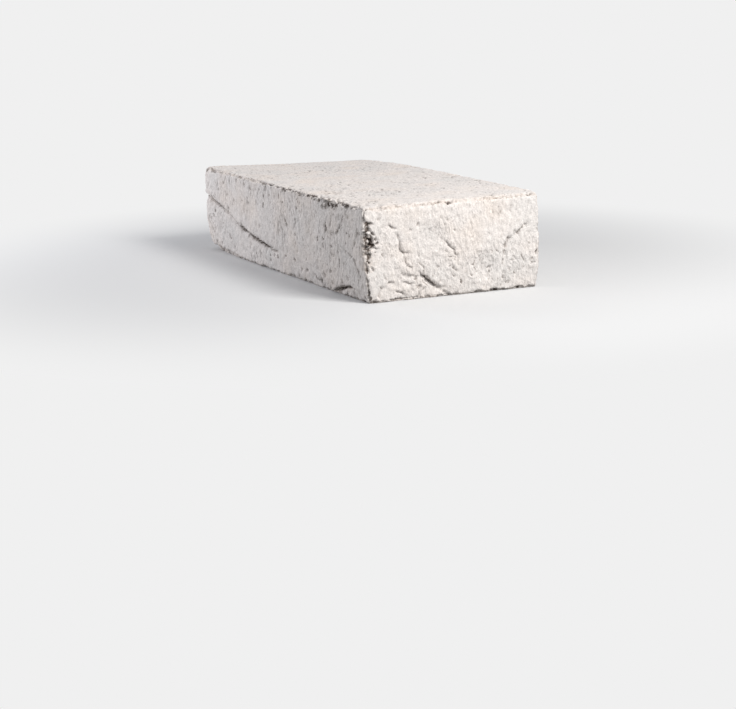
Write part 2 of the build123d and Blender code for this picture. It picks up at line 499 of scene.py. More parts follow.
# Round pits of the sides: around, up, width and depth
PITS = (
    (154.2, 26.8, 1.4, 1.3), (161.8, 27.3, 1.4, 1.2), (171.2, 24.9, 1.3, 1.0), (193.2, 32.9, 1.3, 1.1),
    (198.8, 30.9, 1.0, 0.8), (191.6, 42.8, 1.1, 0.9), (188.6, 10.1, 1.5, 0.9), (179.6, 15.6, 1.1, 1.0),
    (168.1, 10.9, 1.4, 0.8), (136, 23.7, 0.9, 0.8), (126.5, 20.8, 1.0, 1.0), (150, 17.0, 1.0, 0.8),
    (138.5, 13.0, 1.1, 0.8), (115, 36.2, 0.9, 0.8), (65, 17.0, 1.3, 1.2), (83.5, 13.8, 1.3, 1.3),
    (85, 11.8, 1.0, 1.1), (90, 9.6, 1.2, 1.3), (90, 5.4, 1.1, 1.1), (95.5, 9.6, 1.2, 1.0),
    (100.5, 9.0, 1.6, 1.3), (111.5, 11.0, 1.2, 1.0), (122.5, 10.4, 1.2, 0.9), (138, 7.0, 1.4, 0.9),
    (149.5, 5.0, 1.5, 1.0), (156.5, 4.8, 1.5, 1.1), (161, 7.2, 1.3, 1.0), (169, 4.8, 1.5, 1.0),
    (220.8, 39.0, 0.9, 0.8), (234.6, 44.6, 0.9, 0.8), (236, 36.0, 1.0, 0.8), (252.5, 32.0, 0.9, 0.7),
    (240.0, 6.2, 1.2, 1.0), (243.0, 4.6, 1.2, 0.9), (303.2, 33.0, 1.3, 0.7), (299.2, 28.6, 1.9, 0.8),
    (296.5, 30.0, 1.1, 0.5), (293.0, 27.2, 1.5, 0.7), (291.0, 23.6, 1.6, 0.8), (290.7, 20.4, 1.4, 0.8),
    (296.1, 16.2, 1.7, 0.7), (293.4, 11.2, 1.3, 0.6), (289.6, 6.8, 1.3, 1.0), (292.9, 3.9, 1.5, 0.9),
    (310.4, 18.8, 1.5, 0.9), (283.0, 21.4, 1.2, 0.7), (282.0, 13.0, 1.4, 0.7), (213.5, 18.2, 1.5, 1.3),
)

# Upright dashes of the sides: around, up, width, height and depth
DASHES = (
    (89.2, 46.4, 1.4, 2.2, 1.3), (67.4, 43.8, 1.2, 1.6, 1.0), (86.6, 41.6, 1.2, 1.9, 1.0),
    (85.8, 36.6, 1.2, 2.4, 1.1), (112.8, 31.4, 1.0, 1.8, 1.1), (114.2, 28.8, 1.0, 1.6, 1.2),
    (129.5, 40.4, 1.0, 1.3, 0.9), (58.8, 45.6, 1.2, 1.2, 0.9), (106.5, 44.0, 1.1, 1.8, 0.9),
    (93.7, 42.6, 1.1, 1.2, 0.8), (132.2, 44.8, 1.1, 1.6, 0.9), (55.4, 35.6, 1.0, 1.0, 0.8),
    (11.2, 21.8, 1.2, 1.6, 0.9), (12.2, 5.8, 1.2, 1.8, 1.0), (186.5, 41.6, 1.0, 1.5, 0.8),
    (240.6, 38.4, 0.8, 1.6, 0.8), (225.2, 23.2, 0.8, 1.4, 0.7), (240.4, 22.6, 0.8, 1.4, 0.7),
)

# Marks of the upper bed: x, y, width and depth
BED_MARKS = (
    (103.4, -41.1, 1.3, 1.0), (104.6, -38.2, 0.8, 0.9), (101.0, -31.3, 2.0, 0.7), (98.3, -38.9, 1.3, 0.9),
    (96.2, -28.8, 1.0, 0.9), (90.8, -42.8, 1.1, 0.8), (83.6, -45.0, 1.4, 1.1), (79.7, -46.8, 1.6, 0.8),
    (91.6, -19.8, 0.9, 0.7), (102.4, -24.0, 1.0, 0.6), (103.6, -8.0, 1.4, 0.9), (100.0, 7.1, 1.0, 0.9),
    (100.2, 24.1, 1.4, 0.8), (78.8, 24.3, 1.1, 0.7), (40.9, 14.4, 1.2, 0.8), (67.9, -1.5, 1.2, 0.8),
    (65.2, 11.5, 1.2, 0.8), (24.0, -17.4, 1.2, 1.0), (22.0, 7.0, 1.1, 0.7), (22.1, 48.7, 1.8, 1.0),
)

# Arrises that small nicks are strewn along: the corner each starts at, with 1 for the high side of
# x, y and z, and the way it runs
ARRISES = (
    ((0, 0, 0), (0, 1, 0)), ((0, 0, 0), (1, 0, 0)), ((1, 1, 1), (0, -1, 0)), ((1, 1, 1), (-1, 0, 0)),
    ((0, 1, 1), (0, -1, 0)), ((0, 0, 1), (1, 0, 0)), ((1, 0, 0), (0, 1, 0)), ((0, 1, 0), (1, 0, 0)),
    ((0, 0, 0), (0, 0, 1)), ((0, 1, 0), (0, 0, 1)), ((1, 1, 0), (0, 0, 1)), ((1, 0, 0), (0, 0, 1)),
)


@dataclass
class MouldedBrick:
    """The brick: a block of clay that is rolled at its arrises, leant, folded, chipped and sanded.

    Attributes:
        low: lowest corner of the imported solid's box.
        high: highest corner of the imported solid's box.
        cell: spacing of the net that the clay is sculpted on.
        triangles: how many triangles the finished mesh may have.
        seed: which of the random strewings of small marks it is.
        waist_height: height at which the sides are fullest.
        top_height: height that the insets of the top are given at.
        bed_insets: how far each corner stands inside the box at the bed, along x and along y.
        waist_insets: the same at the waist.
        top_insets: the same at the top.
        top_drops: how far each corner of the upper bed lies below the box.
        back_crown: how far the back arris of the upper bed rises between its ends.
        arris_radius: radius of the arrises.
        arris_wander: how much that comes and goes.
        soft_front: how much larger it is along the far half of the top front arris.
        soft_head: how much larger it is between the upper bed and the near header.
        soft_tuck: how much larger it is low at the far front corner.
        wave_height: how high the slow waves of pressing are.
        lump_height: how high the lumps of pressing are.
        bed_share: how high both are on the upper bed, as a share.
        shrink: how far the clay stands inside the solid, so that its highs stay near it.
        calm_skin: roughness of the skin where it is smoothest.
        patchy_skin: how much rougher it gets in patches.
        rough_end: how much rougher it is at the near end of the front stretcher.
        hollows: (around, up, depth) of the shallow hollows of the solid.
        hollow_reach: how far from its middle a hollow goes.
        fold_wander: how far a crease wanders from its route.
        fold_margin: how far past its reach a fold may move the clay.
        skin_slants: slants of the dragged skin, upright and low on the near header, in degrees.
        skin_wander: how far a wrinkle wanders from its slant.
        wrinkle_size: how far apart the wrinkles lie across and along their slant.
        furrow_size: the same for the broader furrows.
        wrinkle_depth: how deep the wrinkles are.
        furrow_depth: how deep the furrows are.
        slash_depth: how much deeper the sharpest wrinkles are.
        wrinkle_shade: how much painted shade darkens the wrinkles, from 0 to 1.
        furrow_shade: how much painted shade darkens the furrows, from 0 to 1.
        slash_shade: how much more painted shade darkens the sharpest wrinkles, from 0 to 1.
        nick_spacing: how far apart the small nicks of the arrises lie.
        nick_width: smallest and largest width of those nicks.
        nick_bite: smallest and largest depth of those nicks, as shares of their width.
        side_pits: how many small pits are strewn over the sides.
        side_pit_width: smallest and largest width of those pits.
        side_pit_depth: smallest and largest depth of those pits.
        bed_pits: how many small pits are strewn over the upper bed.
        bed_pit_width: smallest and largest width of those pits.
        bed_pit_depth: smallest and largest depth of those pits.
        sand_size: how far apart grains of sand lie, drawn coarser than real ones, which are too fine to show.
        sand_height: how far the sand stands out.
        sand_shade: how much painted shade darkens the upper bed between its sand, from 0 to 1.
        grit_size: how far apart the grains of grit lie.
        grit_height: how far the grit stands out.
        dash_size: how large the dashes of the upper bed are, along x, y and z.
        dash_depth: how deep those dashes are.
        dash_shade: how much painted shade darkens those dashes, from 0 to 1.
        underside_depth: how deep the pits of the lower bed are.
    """

    low: Place
    high: Place
    cell: float = 0.6
    triangles: int = 190_000
    seed: int = 7
    waist_height: float = 23.0
    top_height: float = 53.0
    bed_insets: dict[Corner, Pair] = by_corner((1.0, 2.2), (0.7, 3.0), (0.6, 1.8), (1.6, 1.6))
    waist_insets: dict[Corner, Pair] = by_corner((0.2, 0.4), (0.4, 0.6), (0.2, 0.9), (0.6, 0.9))
    top_insets: dict[Corner, Pair] = by_corner((0.4, 0.6), (1.8, 0.4), (0.6, 0.6), (1.0, 1.0))
    top_drops: dict[Corner, float] = by_corner(0.9, 1.4, 0.0, 3.4)
    back_crown: float = 2.2
    arris_radius: float = 1.4
    arris_wander: float = 0.4
    soft_front: float = 1.6
    soft_head: float = 1.8
    soft_tuck: float = 6.0
    wave_height: float = 0.8
    lump_height: float = 0.26
    bed_share: float = 0.4
    shrink: float = 0.2
    calm_skin: float = 0.45
    patchy_skin: float = 0.75
    rough_end: float = 0.8
    hollows: tuple[Place, ...] = (
        (66, 32, 1.1), (112, 26, 1.1), (148, 31, 0.9), (248, 32, 1.2), (278, 14, 1.0),
    )
    hollow_reach: float = 8.5
    fold_wander: float = 0.7
    fold_margin: float = 8.0
    skin_slants: Pair = (4.0, 42.0)
    skin_wander: float = 2.6
    wrinkle_size: Pair = (1.5, 4.2)
    furrow_size: Pair = (3.6, 8.0)
    wrinkle_depth: float = 0.26
    furrow_depth: float = 0.14
    slash_depth: float = 0.34
    wrinkle_shade: float = 0.15
    furrow_shade: float = 0.07
    slash_shade: float = 0.29
    nick_spacing: float = 5.0
    nick_width: Pair = (0.7, 2.0)
    nick_bite: Pair = (0.2, 0.5)
    side_pits: int = 170
    side_pit_width: Pair = (0.6, 1.2)
    side_pit_depth: Pair = (0.3, 0.8)
    bed_pits: int = 190
    bed_pit_width: Pair = (0.5, 1.1)
    bed_pit_depth: Pair = (0.2, 0.6)
    sand_size: float = 1.4
    sand_height: float = 0.19
    sand_shade: float = 0.2
    grit_size: float = 2.8
    grit_height: float = 0.15
    dash_size: Place = (3.2, 1.4, 1.4)
    dash_depth: float = 0.3
    dash_shade: float = 0.45
    underside_depth: float = 0.5

    def __post_init__(self) -> None:
        """Work out the block's size and make the seeded source of random draws."""
        self.size = np.array(self.high) - np.array(self.low)
        self.middle = (np.array(self.high) + np.array(self.low)) / 2
        self.random = np.random.default_rng(self.seed)

    def build(self) -> bpy.types.Object:
        """Sculpt the brick.

        Returns:
            The finished object, with its mesh in metres.
        """
        mesh = self.rough_block()
        self.block = self.read_points(mesh)
        # How much dark core clay and painted shade darken each vertex
        self.hollow = np.zeros(len(self.block))
        self.find_places()
        self.roll_arrises()
        self.lean_sides()
        self.press_unevenly()
        self.press_hollows()
        for fold in FOLDS:
            self.close_fold(fold)
        self.drag_skin()
        self.wear_arrises()
        for scoop in (*self.arris_chips(), *self.placed_marks(), *self.arris_nicks(), *self.stray_pits()):
            self.break_off(scoop)
        self.sand_faces()
        self.settle_on_bed()
        return self.finish_mesh(mesh)

    def rough_block(self) -> bpy.types.Mesh:
        """Cut a plain block into a fine net of faces.

        Returns:
            The net as a mesh, in millimetres.
        """
        block = bmesh.new()
        bmesh.ops.create_cube(block, size=1.0)
        bmesh.ops.scale(block, vec=Vector(self.size), verts=block.verts)
        bmesh.ops.translate(block, vec=Vector(self.middle), verts=block.verts)
        for axis, length in enumerate(self.size):
            along = [edge for edge in block.edges
                     if abs(edge.verts[0].co[axis] - edge.verts[1].co[axis]) > length / 2]
            cuts = round(length / self.cell) - 1
            bmesh.ops.subdivide_edges(block, edges=along, cuts=cuts, use_grid_fill=True)
        mesh = bpy.data.meshes.new("brick_clay")
        block.to_mesh(mesh)
        block.free()
        return mesh

    @staticmethod
    def read_points(mesh: bpy.types.Mesh) -> np.ndarray:
        """Read the vertices of a mesh.

        Args:
            mesh: the mesh.

        Returns:
            Rows of x, y and z.
        """
        flat = np.empty(len(mesh.vertices) * 3)
        mesh.vertices.foreach_get("co", flat)
        return flat.reshape(-1, 3)

    def find_places(self) -> None:
        """Find each vertex's way along, across and up the block, and round its sides."""
        length, width, _ = self.size
        x, y, z = (self.block - np.array(self.low)).T
        side = np.argmin(np.stack((y, length - x, width - y, x)), axis=0)
        runs = np.stack((x, length + y, length + width + (length - x), 2 * length + width + (width - y)))
        self.girth = 2 * (length + width)
        self.around = np.take_along_axis(runs, side[None], axis=0)[0]
        self.along, self.across, self.up = x, y, z

    def block_place(self, around: float, up: float) -> Place:
        """Find a place of the sides on the plain block.

        Args:
            around: how far round the brick it lies.
            up: how high above the bed it lies.

        Returns:
            Its x, y and z.
        """
        length, width, _ = self.size
        x0, y0, z0 = self.low
        x1, y1, _ = self.high
        run = around % self.girth
        if run < length:
            return x0 + run, y0, z0 + up
        if run < length + width:
            return x1, y0 + run - length, z0 + up
        if run < 2 * length + width:
            return x1 - (run - length - width), y1, z0 + up
        return x0, y1 - (run - 2 * length - width), z0 + up

    def push(self, amount: np.ndarray, where: np.ndarray | slice = slice(None)) -> None:
        """Move the clay outwards by an amount at each vertex."""
        self.points[where] += self.out[where] * amount[:, None]

    def shade_and_core(self, amount: np.ndarray, where: np.ndarray | slice = slice(None)) -> None:
        """Darken each vertex at least this much, with dark core clay and painted shade."""
        self.hollow[where] = np.maximum(self.hollow[where], amount)

    def roll_arrises(self) -> None:
        """Round the arrises over, more softly at some of them, and tell sides, beds and arrises apart."""
        # Where the softer arrises lie, with x, y and z from -1 at one side of the block to 1 at the other
        x, y, z = (self.block - self.middle).T / (self.size / 2)[:, None]
        front = ramp(x, -0.05, -0.3) * ramp(x, -0.99, 0.06) * ramp(y, -0.7, -0.3) * ramp(z, 0.5, 0.4)
        head = ramp(x, 0.93, 0.03) * ramp(z, 0.6, 0.2) * ramp(y, -0.97, 0.1)
        tuck = ramp(x, -0.5, -0.5) * ramp(y, -0.2, -0.5) * ramp(z, -0.45, -0.55)
        wander = random_field(self.block, size=28.0, seed=1)
        radius = self.arris_radius + self.arris_wander * wander
        radius = (radius + self.soft_front * front + self.soft_head * head + self.soft_tuck * tuck)[:, None]
        centre = np.clip(self.block - self.middle, radius - self.size / 2, self.size / 2 - radius)
        away = self.block - self.middle - centre
        self.out = away / np.linalg.norm(away, axis=1, keepdims=True)
        self.points = self.middle + centre + self.out * radius

        # How far each vertex belongs to the sides, the upper bed, the lower bed and the arrises
        facing_up = self.out[:, 2]
        self.on_side = ramp(np.abs(facing_up), 0.95, -0.5)
        self.on_top = ramp(facing_up, 0.4, 0.5)
        self.on_bed = ramp(facing_up, -0.4, -0.5)
        self.on_arris = np.sort(np.abs(self.out), axis=1)[:, 1]

    def lean_sides(self) -> None:
        """Lean and bulge the sides and wind the upper bed, as the solid does, and crown its back arris."""
        share_x, share_y, _ = ((self.points - np.array(self.low)) / self.size).T
        level = self.points[:, 2] - self.low[2]
        heights = (0.0, self.waist_height, self.top_height)
        weights = [
            np.prod([(level - other) / (own - other) for other in heights if other != own], axis=0)
            for own in heights
        ]
        tables = (self.bed_insets, self.waist_insets, self.top_insets)
        inset = {
            corner: sum(weight[:, None] * np.array(table[corner]) for weight, table in zip(weights, tables))
            for corner in Corner
        }
        far = blend(share_y, inset[Corner.FAR_FRONT][:, 0], inset[Corner.FAR_BACK][:, 0])
        near = blend(share_y, inset[Corner.NEAR_FRONT][:, 0], inset[Corner.NEAR_BACK][:, 0])
        front = blend(share_x, inset[Corner.FAR_FRONT][:, 1], inset[Corner.NEAR_FRONT][:, 1])
        back = blend(share_x, inset[Corner.FAR_BACK][:, 1], inset[Corner.NEAR_BACK][:, 1])
        drop = sum(corner.weight(share_x, share_y) * self.top_drops[corner] for corner in Corner)
        self.points[:, 0] += (far - far.min()) * (1 - share_x) - (near - near.min()) * share_x
        self.points[:, 1] += (front - front.min()) * (1 - share_y) - (back - back.min()) * share_y

        # The crown is highest towards the far end, and dies away towards the front
        bow = np.sin(math.pi * np.clip(share_x, 0, 1) ** 0.6)
        crown = self.back_crown * bow * np.clip(share_y, 0, 1) ** 2
        self.points[:, 2] += (crown - drop) * level / self.size[2]

    def press_unevenly(self) -> None:
        """Give the faces the waves and lumps that pressing by hand leaves, and say how rough the skin is."""
        waves = random_field(self.block, size=42.0, seed=2)
        lumps = random_field(self.block, size=12.0, octaves=2, seed=3)
        uneven = self.wave_height * waves + self.lump_height * lumps
        self.push(uneven * (self.on_side + self.bed_share * self.on_top) - self.shrink)
        patches = ease(0.5 + 1.6 * random_field(self.block, size=32.0, octaves=2, seed=19))
        near_end = ramp(self.around, 140, 30) * ramp(self.around, self.size[0], -6)
        self.roughness = self.calm_skin + self.patchy_skin * patches + self.rough_end * near_end

    def press_hollows(self) -> None:
        """Press the shallow hollows of the solid into the faces."""
        for around, up, depth in self.hollows:
            apart = np.linalg.norm(self.block - np.array(self.block_place(around, up)), axis=1)
            self.push(-depth * np.clip(1 - (apart / self.hollow_reach) ** 2, 0, 1))

    def follow(self, fold: Fold, spacing: float = 0.5) -> np.ndarray:
        """Draw a fold's route as a smooth line that wanders a little.

        Args:
            fold: the fold.
            spacing: how far apart the line's points lie.

        Returns:
            Rows of around, up and strength.
        """
        knots = np.array((fold.route[0], *fold.route, fold.route[-1]), float)
        rows = []
        for before, start, end, after in zip(knots, knots[1:], knots[2:], knots[3:]):
            steps = max(2, int(np.hypot(*(end - start)[:2]) / spacing))
            t = np.linspace(0, 1, steps, endpoint=False)[:, None]
            bend = 2 * before - 5 * start + 4 * end - after
            turn = 3 * start - before - 3 * end + after
            rows.append(0.5 * (2 * start + (end - before) * t + bend * t**2 + turn * t**3))
        line = np.vstack((*rows, knots[-1:]))
        flat = np.column_stack((line[:, 0], line[:, 1], np.zeros(len(line))))
        line[:, 0] += self.fold_wander * random_field(flat, size=3.0, octaves=2, seed=4)
        line[:, 1] += self.fold_wander * random_field(flat, size=3.0, octaves=2, seed=5)
        stretches = 1 + fold.broken * random_field(flat, size=7.0, octaves=2, seed=6)
        line[:, 2] = np.clip(line[:, 2] * stretches, 0, None)
        return line

    def close_fold(self, fold: Fold) -> None:
        """Close a fold: raise its lip over the crease, and tuck in and roll out the clay below it.

        Args:
            fold: the fold to close.
        """
        line = self.follow(fold)
        middle = line[:, 0].mean()
        around = (self.around - middle + self.girth / 2) % self.girth - self.girth / 2 + middle
        places = np.column_stack((around, self.up))
        margin = fold.reach + self.fold_margin
        lowest, highest = line[:, :2].min(axis=0) - margin, line[:, :2].max(axis=0) + margin
        inside = ((places > lowest) & (places < highest)).all(axis=1)
        near = np.flatnonzero(inside & (self.on_side > 0.02))
        places = places[near]

        # Places are compared with the line a few thousand at a time, to save memory
        nearest = np.concatenate([
            np.argmin(((part[:, None, :] - line[None, :, :2]) ** 2).sum(axis=2), axis=1)
            for part in np.array_split(places, max(1, len(places) // 4000))
        ])
        heading = np.gradient(line[:, :2], axis=0)
        heading /= np.linalg.norm(heading, axis=1, keepdims=True)
        left = np.column_stack((-heading[:, 1], heading[:, 0]))[nearest]
        offset = places - line[nearest, :2]
        beside = (offset * left).sum(axis=1)
        gap = np.hypot(*offset.T)
        strength = line[nearest, 2] * self.on_side[near]
        on_lip = beside >= 0

        # The net is gathered onto the crease, so that the crease is sharp
        snapped = np.where(gap < 2 * self.cell, 2 * np.clip(gap - self.cell, 0, None), gap)
        gather = (1 - fold.pinch) * (snapped - gap) * np.sign(beside) * np.clip(strength * 3, 0, 1)
        slide = (fold.lean(gap, on_lip) * strength + gather)[:, None] * left
        out = self.out[near]
        level = np.column_stack((-out[:, 1], out[:, 0], np.zeros(len(near))))
        self.push(fold.lift(gap, snapped, on_lip) * strength, near)
        self.points[near] += level * slide[:, :1]
        self.points[near, 2] += slide[:, 1]
        # Painted shade darkens the crease, in the dark clay's colour
        self.shade_and_core(fold.shade_and_core(snapped, on_lip) * np.clip(strength, 0, 1) ** 2 * fold.dark, near)

    @staticmethod
    def drawn_out(around: np.ndarray, up: np.ndarray, slant: float, size: Pair) -> np.ndarray:
        """Turn and scale places, so that a random field of size one is drawn out along a slant.

        Args:
            around: how far round the brick each place lies.
            up: how high above the bed each place lies.
            slant: how far from upright the field leans, in radians.
            size: how far apart the field's highs and lows lie, across and along the slant.

        Returns:
            Rows of three numbers.
        """
        across = around * np.cos(slant) + up * np.sin(slant)
        along = around * np.sin(slant) - up * np.cos(slant)
        return np.column_stack((across / size[0], along / size[1], np.zeros(len(up))))

    def drag_skin(self) -> None:
        """Drag the skin into short wrinkles: upright ones, and slanted ones low on the near header."""
        length, width, _ = self.size
        flat = np.column_stack((self.around, self.up, np.zeros(len(self.up))))
        around = self.around + self.skin_wander * random_field(flat, size=7.0, octaves=2, seed=8)
        up = self.up + self.skin_wander * random_field(flat, size=7.0, octaves=2, seed=9)

        # The slant changes over 8 mm at the arrises of the near header, and from 34 mm up it down to 18 mm
        on_header = ramp(self.around, length - 4, 8) * ramp(self.around, length + width + 4, -8)
        slanted_share = on_header * ramp(self.up, 34, -16)
        layers = []
        for size, seed in ((self.wrinkle_size, 10), (self.furrow_size, 11)):
            upright, slanted = (
                random_field(self.drawn_out(around, up, slant, size), size=1.0, octaves=2, seed=seed)
                for slant in np.radians(self.skin_slants)
            )
            layers.append(blend(slanted_share, upright, slanted))
        wrinkles, furrows = layers
        slashes = ramp(wrinkles, 0.46, 0.25)
        depth = self.wrinkle_depth * wrinkles + self.furrow_depth * furrows + self.slash_depth * slashes
        # Painted shade darkens the wrinkles and furrows, most where they are deepest
        dark = self.slash_shade * slashes + self.wrinkle_shade * ease(wrinkles + 0.1)
        dark += self.furrow_shade * ease(furrows)
        self.push(-depth * self.roughness * self.on_side)
        self.shade_and_core(dark * self.roughness * self.on_side)

    def wear_arrises(self) -> None:
        """Crumble the arrises: badly at the near arris and along the near half of the top front one."""
        length, _, height = self.size
        crumbs = random_field(self.block, size=2.4, octaves=3, seed=17)
        bites = random_field(self.block, size=7.0, octaves=2, seed=18)

        # The near arris is worn further onto the header than onto the stretcher, and what counts as the
        # way from the other arrises is how flat the clay lies
        from_near = np.hypot(2.2 * (length - self.along), self.across)
        from_top_front = np.hypot(self.across, height - self.up)
        from_any = 1.9 - 1.9 * self.on_arris
        for wear, run, apart in (
            (NEAR_ARRIS_WEAR, self.up, from_near),
            (TOP_FRONT_WEAR, self.along, from_top_front),
            (OTHER_WEAR, self.along, from_any),
        ):
            depth, reach, often, dark = (
                read_steps(run, steps) for steps in (wear.depth, wear.reach, wear.often, wear.dark)
            )
            bite = ramp(apart / reach - 0.9 * crumbs, 1.15, -0.5)
            bite = bite * ramp(often + 1.8 * bites + 0.8 * crumbs, 0, 0.5)
            self.push(-depth * bite * (1 + 1.1 * crumbs))
            # Dark core clay and painted shade show where the arrises crumbled, darker where they crumbled
            # deeper
            self.shade_and_core(dark * bite * ramp(crumbs, -0.8, 0.8))

    def arris_chips(self) -> list[Scoop]:
        """Give the chips of the near arris, the most broken one, and of the top front one.

        Returns:
            One scoop for each chip.
        """
        x0, y0, z0 = self.low
        x1, _, z1 = self.high
        near = [
            Scoop((x1, y0, z0 + up), spread, depth, CHIP_RAGGED) for up, spread, depth in NEAR_ARRIS_CHIPS
        ]
        top_front = [
            Scoop((x0 + run, y0, z1 - below), (long, tall, tall), depth, CHIP_RAGGED)
            for run, below, long, tall, depth in TOP_FRONT_CHIPS
        ]
        return near + top_front

    def placed_marks(self) -> list[Scoop]:
        """Give the three chips of the near header and the marks of the faces that stand out.

        Returns:
            One scoop for each mark.
        """
        _, y0, z0 = self.low
        x1, _, z1 = self.high
        chips = [
            Scoop((x1, y0 + 48.9, z1 - 0.8), (2.2, 2.6, 2.0), depth=2.4, ragged=0.3),
            Scoop((x1, y0 + 75, z0), (3.0, 4.0, 1.8), depth=1.3),
            Scoop((x1, y0 + 91, z0), (3.0, 4.0, 1.8), depth=1.3),
        ]
        pits = [
            Scoop(self.block_place(around, up), (wide, wide, wide), depth, PIT_RAGGED)
            for around, up, wide, depth in PITS
        ]
        dashes = [
            Scoop(self.block_place(around, up), (wide, wide, tall), depth, DASH_RAGGED)
            for around, up, wide, tall, depth in DASHES
        ]
        bed_marks = [
            Scoop((x, y, z1), (2.2 * wide, wide, 1.2), depth, SPOT_RAGGED) for x, y, wide, depth in BED_MARKS
        ]
        return chips + pits + dashes + bed_marks

    def arris_nicks(self) -> list[Scoop]:
        """Strew small nicks along the arrises.

        Returns:
            One scoop for each nick.
        """
        nicks = []
        for corner, heading in ARRISES:
            start = np.where(corner, self.high, self.low)
            way = np.array(heading)
            run = np.abs(way) @ self.size
            for place in self.random.uniform(0, run, int(run / self.nick_spacing)):
                wide = self.random.uniform(*self.nick_width)
                depth = wide * self.random.uniform(*self.nick_bite)
                spread = tuple(wide * (1 + 0.8 * np.abs(way)))
                nicks.append(Scoop(tuple(start + way * place), spread, depth, CHIP_RAGGED))
        return nicks

    def stray_pits(self) -> list[Scoop]:
        """Strew small pits over the sides and the upper bed.

        Returns:
            One scoop for each pit.
        """
        pits = []
        arounds = self.random.uniform(0, self.girth, self.side_pits)
        ups = self.random.uniform(2, self.size[2] - 2, self.side_pits)
        for around, up in zip(arounds, ups):
            wide = self.random.uniform(*self.side_pit_width)
            depth = self.random.uniform(*self.side_pit_depth)
            pits.append(Scoop(self.block_place(around, up), (wide, wide, 1.5 * wide), depth, SPOT_RAGGED))
        xs = self.random.uniform(self.low[0], self.high[0], self.bed_pits)
        ys = self.random.uniform(self.low[1], self.high[1], self.bed_pits)
        for x, y in zip(xs, ys):
            wide = self.random.uniform(*self.bed_pit_width)
            depth = self.random.uniform(*self.bed_pit_depth)
            pits.append(Scoop((x, y, self.high[2]), (1.4 * wide, wide, wide), depth, SPOT_RAGGED))
        return pits

    def break_off(self, scoop: Scoop) -> None:
        """Break clay off at one place, with a rough floor and a ragged rim.

        Args:
            scoop: where and how much.
        """
        middle, spread = np.array(scoop.place), np.array(scoop.spread)
        near = np.flatnonzero((np.abs(self.block - middle) < scoop.rim * spread).all(axis=1))
        if len(near) == 0:
            return
        places = self.block[near]
        reach = np.linalg.norm((places - middle) / spread, axis=1)
        reach += scoop.ragged * random_field(places, size=0.6 * min(scoop.spread) + 0.8, octaves=2, seed=11)
        bite = ramp(reach, 1, -0.55)
        floor = 1 + scoop.floor * random_field(places, size=1.5, octaves=2, seed=12)
        # Deeper breaks are painted darker: dark core clay with painted shade in the hollow
        dark = min(1.0, scoop.depth / scoop.dark_depth) ** 1.5
        self.push(-scoop.depth * bite * floor, near)
        self.shade_and_core(bite * dark * np.clip(floor, 0, 1), near)

    def sand_faces(self) -> None:
        """Stick the moulding sand to the faces, and say where it is rubbed off and how rough it looks."""
        sand = random_field(self.block, size=self.sand_size, octaves=2, seed=13)
        grit = random_field(self.block, size=self.grit_size, octaves=2, seed=14)
        self.push((self.sand_height * sand + self.grit_height * grit) * (1 - self.on_bed))
        # Painted shade darkens the upper bed between its sand grains
        self.shade_and_core(self.sand_shade * ease(-3 * sand) * self.on_top)

        # The upper bed has more dashes where its skin is rough, darkened with painted shade
        dashes = random_field(self.block / np.array(self.dash_size), size=1.0, octaves=2, seed=15)
        marks = ramp(dashes + 0.4 * self.roughness, 0.68, 0.3) * self.on_top
        self.push(-self.dash_depth * marks)
        self.shade_and_core(self.dash_shade * marks)

        # Sand is rubbed off the arrises, and off the clay beside the broken stretch of the near one
        from_near = np.hypot(self.size[0] - self.along, self.across)
        beside_near = ramp(from_near, 13, -11) * ramp(self.up, 12, 8) * ramp(self.up, 40, -8)
        self.rubbed = np.maximum(ramp(self.on_arris, 0, 0.5), beside_near)
        self.skin = np.clip(self.roughness * (0.9 - 0.55 * self.on_top), 0, 1)

    def settle_on_bed(self) -> None:
        """Flatten the lower bed but for its pits, so that the brick lies on it."""
        floor = self.low[2]
        flat = self.on_bed > 0.9
        pits = np.clip(random_field(self.block[flat], size=4.0, octaves=2, seed=16), 0, 1)
        self.points[flat, 2] = floor + self.underside_depth * pits
        self.points[:, 2] = np.maximum(self.points[:, 2], floor)

    def finish_mesh(self, mesh: bpy.types.Mesh) -> bpy.types.Object:
        """Write the sculpted clay to its mesh, thinned where it is flat.

        Args:
            mesh: the mesh of the rough block.

        Returns:
            The finished object.
        """
        mesh.vertices.foreach_set("co", (self.points * MM).ravel())
        # The darkening of dark core clay and painted shade goes to the mesh as an attribute, with the rubbing
        # and the skin
        for name, values in (("hollow", self.hollow), ("rubbed", self.rubbed), ("skin", self.skin)):
            layer = mesh.attributes.new(name, "FLOAT", "POINT")
            layer.data.foreach_set("value", values)
        mesh.update()
        rough = bpy.data.objects.new("rough_brick", mesh)
        bpy.context.scene.collection.objects.link(rough)
        thin = rough.modifiers.new("thin", "DECIMATE")
        thin.ratio = min(1.0, self.triangles / (2 * len(mesh.polygons)))
        thin.use_collapse_triangulate = True
        dense = bpy.context.evaluated_depsgraph_get()
        finished = bpy.data.meshes.new_from_object(rough.evaluated_get(dense))
        bpy.data.objects.remove(rough)
        bpy.data.meshes.remove(mesh)
        thinned = self.read_points(finished)
        thinned[:, 2] = np.maximum(thinned[:, 2], self.low[2] * MM)
        finished.vertices.foreach_set("co", thinned.ravel())
        finished.name = "handmade_brick"
        finished.shade_smooth()
        brick = bpy.data.objects.new("handmade_brick", finished)
        bpy.context.scene.collection.objects.link(brick)
        return brick


@dataclass(frozen=True)
class Layer:
    """A colour that lies over the clay's body where a pattern is strong.

    Attributes:
        colour: the colour.
        start: value of the pattern at which the colour starts to show.
        full: value of the pattern at which it shows most.
        cover: how much of the colours below it hides there, from 0 to 1.
    """

    colour: str
    start: float
    full: float
    cover: float = 1.0


